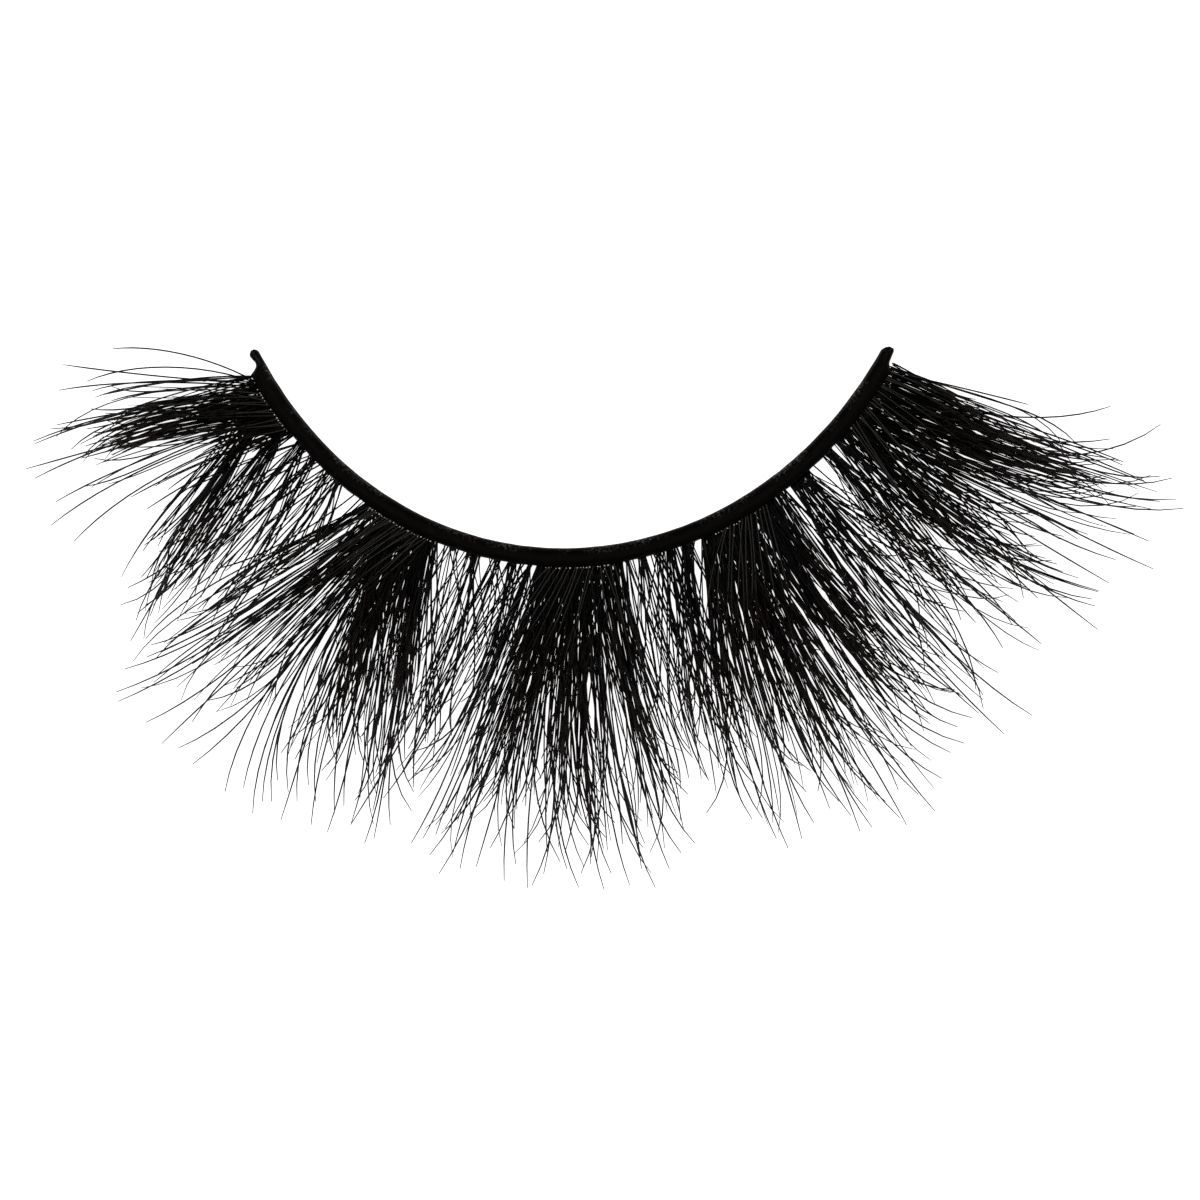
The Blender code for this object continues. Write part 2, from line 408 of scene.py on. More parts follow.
def strand_lines(root, tip, bow, flick, curl, low):
    # Middle lines of many strands from their plan roots and tips. Bow is the turn along a strand, flick the
    # extra turn of its tip, curl the slope that it rises to, and low its height over the table
    t = (np.arange(STEPS) + 0.5) / STEPS
    flicked = np.clip((t - FLICK_FROM) / (1.0 - FLICK_FROM), 0.0, 1.0) ** FLICK_POWER
    turn = bow[:, None] * t + flick[:, None] * flicked
    rise = curl[:, None] * np.clip((t - LYING_SHARE) / (1.0 - LYING_SHARE), 0.0, 1.0)
    reach_x = (np.cos(rise) * np.sin(turn)).mean(axis=1)
    reach_y = (np.cos(rise) * np.cos(turn)).mean(axis=1)
    span = tip - root
    first = np.arctan2(span[:, 0], -span[:, 1]) - np.arctan2(reach_x, reach_y)
    length = np.hypot(span[:, 0], span[:, 1]) / np.hypot(reach_x, reach_y)
    heading = first[:, None] + turn
    level = np.cos(rise)
    steps = np.stack((level * np.sin(heading), -level * np.cos(heading), np.sin(rise)), axis=2)
    line = np.cumsum(steps * length[:, None, None] / STEPS, axis=1)
    line = np.concatenate((np.zeros((len(root), 1, 3)), line), axis=1)
    line[:, :, :2] += root[:, None, :]
    line[:, :, 2] += low[:, None]
    return line[:, ::STEPS // (STATIONS - 1)]


def strand_mesh(name, lines, widths, tones_and_sheen):
    # One mesh of closed four-sided strands. Its UV map holds each strand's tone and painted sheen, and the
    # share along it
    count = len(lines)
    ahead = np.gradient(lines, axis=1)
    ahead /= np.linalg.norm(ahead, axis=2, keepdims=True)
    side = np.cross(ahead, (0.0, 0.0, 1.0))
    side /= np.linalg.norm(side, axis=2, keepdims=True)
    over = np.cross(side, ahead)
    t = np.linspace(0.0, 1.0, STATIONS)
    thinned = np.clip((t - THIN_FROM) / (1.0 - THIN_FROM), 0.0, 1.0) ** THIN_POWER
    thin = 1.0 - (1.0 - TIP_WIDTH_SHARE) * thinned
    radius = widths[:, None, None] / 2 * thin[None, :, None]
    rings = np.stack((side, over, -side, -over), axis=2) * radius[:, :, None] + lines[:, :, None]
    ends = lines[:, -1] + ahead[:, -1] * widths[:, None] * POINT_SHARE
    places = np.concatenate((rings.reshape(count, -1, 3), ends[:, None]), axis=1).reshape(-1, 3)
    per_strand = STATIONS * SIDES + 1
    walls = []
    for j in range(STATIONS - 1):
        for k in range(SIDES):
            n = (k + 1) % SIDES
            walls.append((j * SIDES + k, (j + 1) * SIDES + k, (j + 1) * SIDES + n, j * SIDES + n))
    walls.append(tuple(range(SIDES)))
    last = (STATIONS - 1) * SIDES
    points = [(last + k, per_strand - 1, last + (k + 1) % SIDES) for k in range(SIDES)]
    starts = np.arange(count)[:, None, None] * per_strand
    quads = (np.array(walls)[None] + starts).reshape(-1, SIDES)
    triangles = (np.array(points)[None] + starts).reshape(-1, 3)
    mesh = bpy.data.meshes.new(name)
    mesh.from_pydata(places.tolist(), [], quads.tolist() + triangles.tolist())
    mesh.polygons.foreach_set("use_smooth", np.ones(len(mesh.polygons), dtype=bool))
    share_along = np.append(np.repeat(t, SIDES), 1.0)
    values = np.stack((np.repeat(tones_and_sheen, per_strand), np.tile(share_along, count)), axis=1)
    corners = np.empty(len(mesh.loops), dtype=np.int32)
    mesh.loops.foreach_get("vertex_index", corners)
    uv = mesh.uv_layers.new(name="fibre")
    uv.data.foreach_set("uv", values[corners].astype(np.float32).ravel())
    mesh.update()
    return mesh


# Drawn polyester, dyed black in the melt: near black and glossy, and a thin brown where the light comes
# through a tapered tip. Strands of the highest tones are mixed towards grey, a painted highlight along them
FIBRE_BLACK = "#050302"
FIBRE_SHEEN_GREY = "#3c3a38"
FIBRE_TIP = "#160b06"
FIBRE_GLOSS = 0.34
DRAW_LINE = 0.00004

fibre = bpy.data.materials.new("drawn_polyester")
fibre.use_nodes = True
tree = fibre.node_tree
surface = tree.nodes["Principled BSDF"]
place = add_node(tree, "ShaderNodeTexCoord")
fibre_uv = add_node(tree, "ShaderNodeUVMap", {"uv_map": "fibre"})
split = add_node(tree, "ShaderNodeSeparateXYZ", inputs={"Vector": fibre_uv.outputs["UV"]})
thin_end = add_node(tree, "ShaderNodeMapRange", inputs={
    "Value": split.outputs["Y"], "From Min": 0.55, "From Max": 1.0})
# Painted highlight: the highest tones mix the fibre towards grey
painted_sheen = add_node(tree, "ShaderNodeMapRange", inputs={
    "Value": split.outputs["X"], "From Min": 0.7, "From Max": 1.0})
body_tint = add_node(tree, "ShaderNodeMix", {"data_type": "RGBA"}, {
    "Factor": painted_sheen.outputs["Result"], "A": linear(FIBRE_BLACK), "B": linear(FIBRE_SHEEN_GREY)})
tint = add_node(tree, "ShaderNodeMix", {"data_type": "RGBA"}, {
    "Factor": thin_end.outputs["Result"], "A": body_tint.outputs["Result"], "B": linear(FIBRE_TIP)})
grain = add_node(tree, "ShaderNodeTexNoise", inputs={
    "Vector": place.outputs["Object"], "Scale": 1 / DRAW_LINE, "Detail": 2.0})
gloss = add_node(tree, "ShaderNodeMapRange", inputs={
    "Value": grain.outputs["Fac"], "To Min": FIBRE_GLOSS - 0.08, "To Max": FIBRE_GLOSS + 0.16})
relief = add_node(tree, "ShaderNodeBump", inputs={
    "Height": grain.outputs["Fac"], "Strength": 0.25, "Distance": 0.000004})
tree.links.new(tint.outputs["Result"], surface.inputs["Base Color"])
tree.links.new(gloss.outputs["Result"], surface.inputs["Roughness"])
tree.links.new(relief.outputs["Normal"], surface.inputs["Normal"])
surface.inputs["IOR"].default_value = 1.5
surface.inputs["Specular IOR Level"].default_value = 0.08

# Fans and wisps from left to right, each between two shares of the band's length. A lock's root is such a
# share, x and y are where its longest strands end, in millimetres, and bow is its turn on the way, in
# degrees. Its strands cling together in pencils. A sheet is a row of evenly combed strands that crosses the
# locks at a slant, from one root and end to another. Root spread, a share of the band's length too, and
# loose say how far strands stray, and highest is the most that a root stands over the table, in metres.
# Where a group has a knot step, in metres, its strands start from knots that stand so far apart
GROUPS = (
    Group("left_corner_fan", 0.030, 0.118, 0.008, 1.0, 0.0, 0.00036, (
        Lock(0.040, -20.4, 7.3, 14, 4),
        Lock(0.044, -20.3, 6.7, 18, 6),
        Lock(0.050, -22.7, 4.9, 24, 5),
        Lock(0.053, -20.7, 5.7, 20, 8),
        Lock(0.058, -21.8, 5.7, 18, 4),
        Lock(0.062, -22.0, 5.1, 22, 6),
        Lock(0.067, -20.0, 5.2, 24, 9),
        Lock(0.072, -22.0, 4.4, 24, 6),
        Lock(0.077, -22.3, 3.4, 28, 8),
        Lock(0.081, -20.2, 4.4, 24, 10),
        Lock(0.085, -22.6, 3.9, 22, 4),
        Lock(0.089, -20.9, 3.9, 26, 8),
        Lock(0.094, -21.3, 2.6, 28, 4),
        Lock(0.099, -21.1, 2.1, 32, 2),
        Lock(0.104, -17.6, 3.4, 18, 3),
        Lock(0.108, -17.9, 2.9, 18, 3),
        Lock(0.112, -17.4, 2.5, 16, 3),
    ), (
        Sheet(0.045, 0.116, -16.8, 6.7, -15.2, 4.4, 10, 30),
        Sheet(0.043, 0.118, -14.8, 7.1, -13.8, 4.0, 8, 44),
    )),
    Group("left_corner_wisp", 0.050, 0.215, 0.007, 0.85, 0.00084, 0.00026, (
        Lock(0.055, -19.7, -2.1, -2, 14),
        Lock(0.064, -19.5, -2.7, -2, 15),
        Lock(0.073, -19.4, -4.4, 4, 8),
        Lock(0.082, -19.0, -3.4, -2, 14),
        Lock(0.092, -18.2, -4.2, 4, 8),
        Lock(0.102, -17.9, -2.8, -2, 14),
        Lock(0.113, -17.5, -3.0, 4, 7),
        Lock(0.125, -15.8, 0.2, 6, 5),
        Lock(0.138, -15.2, -3.6, -6, 7),
        Lock(0.152, -15.0, -1.6, 2, 5),
        Lock(0.170, -14.0, -1.8, -4, 3),
        Lock(0.186, -12.0, -0.8, -10, 6),
        Lock(0.203, -11.1, -0.5, -10, 6),
    ), (
        Sheet(0.118, 0.165, -16.3, 3.4, -18.3, -1.0, 16, 6),
        Sheet(0.150, 0.202, -16.3, -0.6, -14.4, -1.9, 14, 8),
        Sheet(0.165, 0.205, -15.0, -3.6, -13.0, -1.4, -6, 4),
    )),
    Group("left_fan", 0.220, 0.335, 0.006, 0.8, 0.0, 0.00036, (
        Lock(0.238, -17.5, -3.6, 22, 8),
        Lock(0.245, -17.6, -3.7, -16, 7),
        Lock(0.252, -17.8, -4.0, 14, 8),
        Lock(0.262, -18.9, -6.2, -10, 5),
        Lock(0.266, -17.9, -5.6, -6, 13),
        Lock(0.271, -17.2, -5.9, -2, 10),
        Lock(0.276, -17.6, -6.6, -2, 7),
        Lock(0.281, -16.1, -7.1, 0, 9),
        Lock(0.286, -16.3, -8.2, -10, 4),
        Lock(0.290, -15.8, -8.2, 4, 6),
        Lock(0.290, -12.9, -10.1, 36, 7),
        Lock(0.294, -12.5, -10.5, 34, 7),
        Lock(0.297, -12.1, -9.0, 28, 8),
        Lock(0.300, -11.4, -10.3, 30, 7),
        Lock(0.303, -11.8, -8.1, 22, 9),
        Lock(0.306, -10.8, -11.2, 22, 6),
        Lock(0.309, -10.4, -8.6, 16, 8),
        Lock(0.262, -10.3, -9.2, 6, 11),
        Lock(0.269, -9.8, -10.8, 8, 12),
        Lock(0.277, -9.9, -8.8, 8, 14),
        Lock(0.286, -9.1, -11.4, 6, 8),
        Lock(0.295, -8.1, -11.9, 4, 9),
        Lock(0.304, -8.2, -9.4, 6, 13),
        Lock(0.314, -7.6, -10.4, 8, 14),
        Lock(0.322, -7.5, -7.9, 8, 14),
        Lock(0.329, -7.2, -9.0, 10, 10),
    ), (
        Sheet(0.236, 0.330, -12.4, -2.0, -8.4, -3.2, -4, 26),
        Sheet(0.245, 0.330, -9.4, -4.4, -6.8, -4.0, 4, 30),
    )),
    Group("left_wisp", 0.330, 0.458, 0.01, 1.5, 0.00072, 0.00022, (
        Lock(0.340, -6.4, -9.9, 6, 4),
        Lock(0.352, -6.9, -8.6, -2, 3),
        Lock(0.362, -6.0, -10.1, 6, 4),
        Lock(0.376, -5.4, -8.7, 8, 3),
        Lock(0.388, -6.0, -7.5, 0, 3),
        Lock(0.398, -4.4, -6.2, 6, 3),
        Lock(0.410, -5.3, -9.6, -2, 3),
        Lock(0.420, -9.1, -11.5, -6, 3),
        Lock(0.432, -6.5, -12.2, -8, 8),
        Lock(0.442, -6.0, -12.1, -8, 7),
        Lock(0.450, -7.0, -10.3, -8, 7),
    ), (
        Sheet(0.345, 0.462, -9.3, -5.7, -5.4, -10.0, -6, 19),
        Sheet(0.330, 0.455, -4.8, -3.6, -0.3, -5.3, 6, 12),
    )),
    Group("middle_fan", 0.460, 0.562, 0.007, 0.9, 0.0, 0.00036, (
        Lock(0.464, -6.2, -12.0, -10, 7),
        Lock(0.469, -5.2, -13.5, -8, 9),
        Lock(0.474, -4.5, -12.1, -4, 15),
        Lock(0.480, -3.7, -13.1, 0, 16),
        Lock(0.486, -2.8, -13.1, 2, 17),
        Lock(0.492, -2.1, -12.5, 4, 20),
        Lock(0.498, -1.3, -14.1, 2, 14),
        Lock(0.505, -0.1, -12.6, 8, 20),
        Lock(0.512, 0.7, -14.1, 10, 14),
        Lock(0.519, 1.9, -14.2, 10, 14),
        Lock(0.526, 2.3, -13.1, 8, 17),
        Lock(0.533, 3.3, -13.9, 12, 13),
        Lock(0.540, 4.0, -14.1, 14, 10),
        Lock(0.546, 4.5, -13.1, 12, 13),
        Lock(0.552, 5.5, -12.1, 16, 13),
        Lock(0.556, 6.2, -11.6, 18, 11),
    ), (
        Sheet(0.466, 0.560, -3.6, -6.2, 0.1, -7.0, -6, 34),
        Sheet(0.466, 0.556, -0.1, -7.0, 3.8, -6.2, 6, 30),
    )),
    Group("right_wisp", 0.562, 0.665, 0.01, 1.4, 0.00072, 0.00022, (
        Lock(0.568, 4.7, -9.6, 8, 5),
        Lock(0.578, 5.6, -9.2, 12, 6),
        Lock(0.588, 6.0, -8.6, 14, 5),
        Lock(0.590, 6.0, -8.5, 14, 2),
        Lock(0.612, 6.2, -10.6, 4, 1),
        Lock(0.616, 6.3, -10.4, 6, 6),
        Lock(0.624, 6.9, -9.4, 8, 6),
        Lock(0.632, 6.5, -7.9, 6, 8),
        Lock(0.645, 7.3, -8.8, 8, 8),
        Lock(0.655, 6.9, -10.1, 4, 8),
    ), (
        Sheet(0.566, 0.665, 2.7, -5.7, 5.5, -7.0, -4, 12),
        Sheet(0.562, 0.650, 5.5, -8.0, 9.9, -7.2, 10, 16),
    )),
    Group("right_fan", 0.664, 0.768, 0.007, 0.9, 0.0, 0.00036, (
        Lock(0.668, 7.7, -10.4, 6, 13),
        Lock(0.675, 9.2, -12.0, 12, 13),
        Lock(0.681, 9.6, -12.5, 14, 9),
        Lock(0.688, 10.3, -11.0, 12, 21),
        Lock(0.696, 11.5, -10.8, 12, 21),
        Lock(0.704, 12.4, -10.7, 14, 21),
        Lock(0.711, 13.3, -11.7, 12, 12),
        Lock(0.718, 13.7, -9.6, 16, 22),
        Lock(0.725, 15.4, -9.9, 18, 14),
        Lock(0.732, 16.0, -10.8, 18, 9),
        Lock(0.738, 15.5, -7.9, 16, 21),
        Lock(0.745, 16.3, -8.2, 18, 16),
        Lock(0.752, 16.6, -6.5, 16, 17),
        Lock(0.748, 17.3, -8.0, 34, 6),
    ), (
        Sheet(0.672, 0.760, 7.3, -5.3, 10.3, -5.7, 2, 34),
        Sheet(0.672, 0.765, 11.6, -6.2, 14.6, -4.9, 8, 28),
    )),
    Group("right_corner_wisp", 0.765, 0.872, 0.009, 0.8, 0.00086, 0.00026, (
        Lock(0.768, 15.3, -5.3, 10, 8),
        Lock(0.778, 17.4, -8.0, 8, 5),
        Lock(0.789, 18.2, -6.6, 14, 8),
        Lock(0.800, 18.9, -7.5, 10, 5),
        Lock(0.806, 15.9, -5.0, -6, 5),
        Lock(0.812, 20.1, -6.7, 20, 4),
        Lock(0.822, 19.2, -5.1, 16, 8),
        Lock(0.834, 20.3, -4.5, 14, 7),
        Lock(0.846, 21.2, -4.4, 18, 4),
        Lock(0.858, 20.7, -3.1, 12, 8),
        Lock(0.835, 18.3, -4.2, -8, 7),
    ), (
        Sheet(0.770, 0.868, 12.4, -2.7, 17.4, -4.0, -4, 11),
        Sheet(0.766, 0.855, 16.8, -1.4, 22.4, -1.8, 18, 19),
    )),
    Group("right_corner_fan", 0.866, 0.986, 0.006, 0.8, 0.0, 0.00036, (
        Lock(0.869, 20.7, -2.7, 10, 12),
        Lock(0.874, 23.0, -3.1, -2, 4),
        Lock(0.879, 22.9, -2.2, 22, 8),
        Lock(0.884, 22.8, -1.7, 28, 7),
        Lock(0.888, 22.0, -1.2, 10, 14),
        Lock(0.893, 24.0, -0.2, 10, 11),
        Lock(0.898, 25.4, -0.5, 0, 4),
        Lock(0.904, 24.6, 0.2, 4, 6),
        Lock(0.908, 25.2, 0.7, 4, 10),
        Lock(0.910, 25.0, 0.8, 3, 2),
        Lock(0.913, 21.6, 3.0, 8, 2),
        Lock(0.915, 23.7, 2.4, 12, 14),
        Lock(0.922, 25.7, 1.7, 18, 10),
        Lock(0.927, 26.7, 2.1, 22, 8),
        Lock(0.932, 23.3, 2.9, 10, 15),
        Lock(0.939, 26.3, 2.4, 22, 8),
        Lock(0.945, 22.6, 3.8, 6, 15),
        Lock(0.951, 26.2, 3.0, 18, 7),
        Lock(0.956, 25.2, 3.2, 6, 10),
        Lock(0.961, 22.0, 4.1, -5, 14),
        Lock(0.967, 24.5, 3.1, -8, 5),
        Lock(0.972, 20.8, 4.9, -12, 11),
        Lock(0.979, 19.5, 6.0, -14, 8),
    ), (
        Sheet(0.872, 0.930, 16.6, -2.3, 21.6, -1.2, 2, 36),
        Sheet(0.885, 0.965, 17.4, 2.9, 19.4, 4.4, 4, 18),
    )),
)

# The random start of the lashes, chosen out of six for light and dark patches like the real strip's
chance = np.random.default_rng(33)
knot_shares = []
for group in GROUPS:
    locks = np.array(group.locks, dtype=float)
    numbers = locks[:, 4].astype(int)
    lock = np.repeat(np.arange(len(locks)), numbers)
    pencil = np.cumsum(np.concatenate([np.arange(n) % PENCIL == 0 for n in numbers])) - 1
    near = np.clip(lock + in_pencils(pencil, *LOCK_DRIFT), 0, len(locks) - 1)
    tip_x, tip_y, bow = (np.interp(near, np.arange(len(locks)), locks[:, c]) for c in (1, 2, 3))
    root_share = locks[lock, 0] + in_pencils(pencil, group.root_spread, PENCIL_SPREAD / BAND_LENGTH)
    part = 1.0 - chance.uniform(0.0, 1.0, pencil[-1] + 1)[pencil] ** PENCIL_CUT_POWER * PENCIL_CUT
    part -= chance.uniform(0.0, 1.0, len(lock)) ** STRAND_CUT_POWER * STRAND_CUT
    short = chance.uniform(0.0, 1.0, len(lock)) < SHORT_SHARE
    part = np.where(short, chance.uniform(*SHORT_LENGTHS, len(lock)), part)
    bow += in_pencils(pencil, *BOW_DRIFT) * group.loose
    sway = in_pencils(pencil, *SWAY_DRIFT) * group.loose

    numbers = [row.strands for row in group.sheets]
    sheets = np.repeat(np.array(group.sheets, dtype=float), numbers, axis=0)
    across = along_rows(numbers)
    root_share = np.append(root_share, sheets[:, 0] + across * (sheets[:, 1] - sheets[:, 0]))
    tip_x = np.append(tip_x, sheets[:, 2] + across * (sheets[:, 4] - sheets[:, 2]))
    tip_y = np.append(tip_y, sheets[:, 3] + across * (sheets[:, 5] - sheets[:, 3]))
    bow = np.append(bow, sheets[:, 6] + chance.normal(0.0, SHEET_BOW_DRIFT, len(sheets)))
    part = np.append(part, chance.uniform(*SHEET_LENGTHS, len(sheets)))
    sway = np.append(sway, chance.normal(0.0, SHEET_SWAY_DRIFT, len(sheets)))

    total = len(part)
    if group.knot_step:
        step = group.knot_step / BAND_LENGTH
        knots = np.arange(group.root_from, group.root_to, step)
        knots += chance.uniform(-KNOT_DRIFT, KNOT_DRIFT, len(knots)) * step
        root_share = knots[np.abs(root_share[:, None] - knots).argmin(axis=1)]
        knot_shares.append(knots)
        root_share += chance.normal(0.0, KNOT_SPREAD / BAND_LENGTH, total)
    root_share = np.clip(root_share, group.root_from, group.root_to)
    root = on_band(root_share, BAND_WIDTH - ROOT_INSIDE * chance.uniform(*ROOT_INSIDE_SHARES, total))
    sway = np.radians(sway)
    span = (np.stack((tip_x, tip_y), axis=1) / 1000 - root) * part[:, None]
    turned = np.stack((
        span[:, 0] * np.cos(sway) - span[:, 1] * np.sin(sway),
        span[:, 0] * np.sin(sway) + span[:, 1] * np.cos(sway),
    ), axis=1)
    flick = chance.normal(0.0, FLICK_DRIFT, total)
    flick *= np.where(chance.uniform(0.0, 1.0, total) < WILD_SHARE, WILD_TIMES, 1.0)
    flick = np.radians(np.clip(flick, -MOST_FLICK, MOST_FLICK))
    curl = np.radians(CURL_DEGREES + chance.normal(0.0, CURL_DRIFT, total))
    curl *= CURL_OF_STUMP + CURL_OF_LENGTH * part
    low = chance.uniform(LOWEST, group.highest, total)
    lines = strand_lines(root, root + turned, np.radians(bow) * part, flick, curl, low)
    widths = FIBRE_WIDTH * chance.uniform(*FIBRE_WIDTH_SHARES, total)
    mesh = strand_mesh(group.name + "_lashes", lines, widths, chance.uniform(0.0, PALEST, total))
    mesh.materials.append(fibre)
    lashes = bpy.data.objects.new(group.name + "_lashes", mesh)
    bpy.context.scene.collection.objects.link(lashes)
    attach(lashes, "root")
    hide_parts(group.name)


# Knots
# Where the bundles stand apart, each is tied round the thread with one turn of fine black cotton. The knots
# show as small lumps along the outer edge of the band, over which the glue has run thin.
KNOT_ALONG = 0.00030
KNOT_ACROSS = 0.00020
KNOT_TALL = 0.00024
KNOT_OFFSET = 0.00078
KNOT_WANDER = 0.00003
KNOT_UNEVENNESS = 0.06
KNOT_SIZE_SHARES = (0.8, 1.2)
KNOT_GAPS = (0.00004, 0.00012)
KNOT_TILT = 0.15
TURN_SPACING = 0.0001
WAVE_UNIT = 0.628
COTTON_BLACK = "#080605"
# Paler colour of the raised turns of the thread
COTTON_PROUD = "#26221f"


def copies(name, pattern, places, headings, sizes):
    # One mesh of many copies of a small closed form, each turned to its heading and scaled to its sizes
    forms = read_mesh(pattern)
    faces = np.array([tuple(face.vertices) for face in pattern.polygons])
    turned = forms[None] * sizes[:, None]
    side = np.stack((np.cos(headings), np.sin(headings)), axis=1)
    away = np.stack((np.sin(headings), -np.cos(headings)), axis=1)
    plan = turned[:, :, :1] * side[:, None] + turned[:, :, 1:2] * -away[:, None]
    points = np.concatenate((plan, turned[:, :, 2:]), axis=2) + places[:, None]
    starts = np.arange(len(places))[:, None, None] * len(forms)
    copied_faces = (faces[None] + starts).reshape(-1, faces.shape[1])
    mesh = bpy.data.meshes.new(name)
    mesh.from_pydata(points.reshape(-1, 3).tolist(), [], copied_faces.tolist())
    mesh.polygons.foreach_set("use_smooth", np.ones(len(mesh.polygons), dtype=bool))
    mesh.update()
    return mesh


bpy.ops.object.select_all(action="DESELECT")
bpy.ops.mesh.primitive_ico_sphere_add(subdivisions=2, radius=0.5)
lump = bpy.context.object
bpy.ops.object.mode_set(mode="EDIT")
bpy.ops.mesh.select_all(action="SELECT")
bpy.ops.transform.vertex_random(offset=KNOT_UNEVENNESS, uniform=0.6, normal=0.4, seed=3)
bpy.ops.mesh.normals_make_consistent(inside=False)
bpy.ops.object.mode_set(mode="OBJECT")

shares = np.concatenate(knot_shares)
number = len(shares)
plan = on_band(shares, KNOT_OFFSET + chance.uniform(-KNOT_WANDER, KNOT_WANDER, number))
sizes = np.array([KNOT_ACROSS, KNOT_ALONG, KNOT_TALL]) * chance.uniform(*KNOT_SIZE_SHARES, (number, 3))
places = np.column_stack((plan, sizes[:, 2] * 0.5 + chance.uniform(*KNOT_GAPS, number)))
headings = band_heading(shares) + chance.normal(0.0, KNOT_TILT, number)
mesh = copies("thread_knots", lump.data, places, headings, sizes)
thread_knots = bpy.data.objects.new("thread_knots", mesh)
bpy.context.scene.collection.objects.link(thread_knots)
bpy.data.objects.remove(lump)

# Waxed cotton, twisted: dull black, and a little browner and paler where its turns stand proud. A slanting
# wave of scale 1 repeats once in the wave unit along each axis
cotton = bpy.data.materials.new("waxed_cotton")
cotton.use_nodes = True
tree = cotton.node_tree
surface = tree.nodes["Principled BSDF"]
place = add_node(tree, "ShaderNodeTexCoord")
turns = add_node(tree, "ShaderNodeTexWave", {"bands_direction": "DIAGONAL"}, {
    "Vector": place.outputs["Object"], "Scale": WAVE_UNIT / TURN_SPACING,
    "Distortion": 2.0, "Detail": 2.0})
proud = add_node(tree, "ShaderNodeMapRange", inputs={
    "Value": turns.outputs["Fac"], "From Min": 0.55, "From Max": 1.0})
tint = add_node(tree, "ShaderNodeMix", {"data_type": "RGBA"}, {
    "Factor": proud.outputs["Result"], "A": linear(COTTON_BLACK), "B": linear(COTTON_PROUD)})
gloss = add_node(tree, "ShaderNodeMapRange", inputs={
    "Value": turns.outputs["Fac"], "To Min": 0.85, "To Max": 0.60})
relief = add_node(tree, "ShaderNodeBump", inputs={
    "Height": turns.outputs["Fac"], "Strength": 0.6, "Distance": 0.00001})
tree.links.new(tint.outputs["Result"], surface.inputs["Base Color"])
tree.links.new(gloss.outputs["Result"], surface.inputs["Roughness"])
tree.links.new(relief.outputs["Normal"], surface.inputs["Normal"])
surface.inputs["Specular IOR Level"].default_value = 0.2
thread_knots.data.materials.append(cotton)
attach(thread_knots, "root")


# Thread loops
# The end of the tying thread stands out in two small loose loops beside the left tab, where it was cut off
# and caught in the glue.
Loop = namedtuple("Loop", "share offset height radius tilt")
LOOPS = (
    Loop(0.0270, 0.00058, 0.00026, 0.00010, 35),
    Loop(0.0325, 0.00070, 0.00022, 0.00008, -25),
)
LOOP_THREAD = 0.00002
LOOP_ROLL = 20.0
LOOP_KINKS = 0.000008

bpy.ops.object.select_all(action="DESELECT")
rings = []
for row in LOOPS:
    x, y = on_band(np.array([row.share]), row.offset)[0]
    bpy.ops.mesh.primitive_torus_add(
        location=(x, y, row.height), rotation=(math.radians(row.tilt), math.radians(LOOP_ROLL), 0.0),
        major_radius=row.radius, minor_radius=LOOP_THREAD, major_segments=20, minor_segments=6)
    rings.append(bpy.context.object)
for ring in rings:
    ring.select_set(True)
bpy.ops.object.join()
thread_loops = bpy.context.object
thread_loops.name = "thread_loops"
bpy.ops.object.mode_set(mode="EDIT")
bpy.ops.mesh.select_all(action="SELECT")
bpy.ops.transform.vertex_random(offset=LOOP_KINKS, uniform=0.5, normal=0.5, seed=5)
bpy.ops.object.mode_set(mode="OBJECT")
bpy.ops.object.transform_apply(location=True, rotation=True, scale=True)
bpy.ops.object.shade_smooth()
thread_loops.data.materials.append(cotton)
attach(thread_loops, "root")


# Highlight beads
# Painted highlights: a row of tiny pale beads along the roots of the dense fans, which shows as a dotted
# line of points of light beside the band.
Row = namedtuple("Row", "share_from share_to shown")
BEAD_ROWS = (
    Row(0.046, 0.110, 0.9),
    Row(0.245, 0.328, 0.9),
    Row(0.470, 0.556, 0.8),
    Row(0.680, 0.742, 0.6),
    Row(0.890, 0.960, 0.3),
)
BEAD_STEP = 0.00014
BEAD_STEP_DRIFT = 0.12
BEAD_SIZE = 0.000075
BEAD_SIZE_SHARES = (0.5, 1.25)
BEAD_FORM = (1.0, 0.8, 0.8)
BEAD_OFFSET = 0.00088
BEAD_WANDER = 0.00001
BEAD_HEIGHT = 0.00048
# Colours of the painted highlights on the beads
HIGHLIGHT_PALE = "#e6e2da"
HIGHLIGHT_DIM = "#8d8880"
MOTTLE_SIZE = 0.0006

bpy.ops.object.select_all(action="DESELECT")
bpy.ops.mesh.primitive_ico_sphere_add(subdivisions=1, radius=0.5)
bead = bpy.context.object
bpy.ops.object.mode_set(mode="EDIT")
bpy.ops.mesh.select_all(action="SELECT")
bpy.ops.transform.resize(value=(1.0, 1.0, 0.8))
bpy.ops.object.mode_set(mode="OBJECT")

shares = []
for row in BEAD_ROWS:
    steps = np.arange(row.share_from, row.share_to, BEAD_STEP / BAND_LENGTH)
    shares.append(steps[chance.uniform(0.0, 1.0, len(steps)) < row.shown])
shares = np.concatenate(shares)
number = len(shares)
shares += chance.normal(0.0, BEAD_STEP_DRIFT, number) * BEAD_STEP / BAND_LENGTH
plan = on_band(shares, BEAD_OFFSET + chance.normal(0.0, BEAD_WANDER, number))
sizes = np.array(BEAD_FORM) * BEAD_SIZE * chance.uniform(*BEAD_SIZE_SHARES, (number, 1))
places = np.column_stack((plan, np.full(number, BEAD_HEIGHT)))
mesh = copies("highlight_beads", bead.data, places, band_heading(shares), sizes)
highlight_beads = bpy.data.objects.new("highlight_beads", mesh)
bpy.context.scene.collection.objects.link(highlight_beads)
bpy.data.objects.remove(bead)
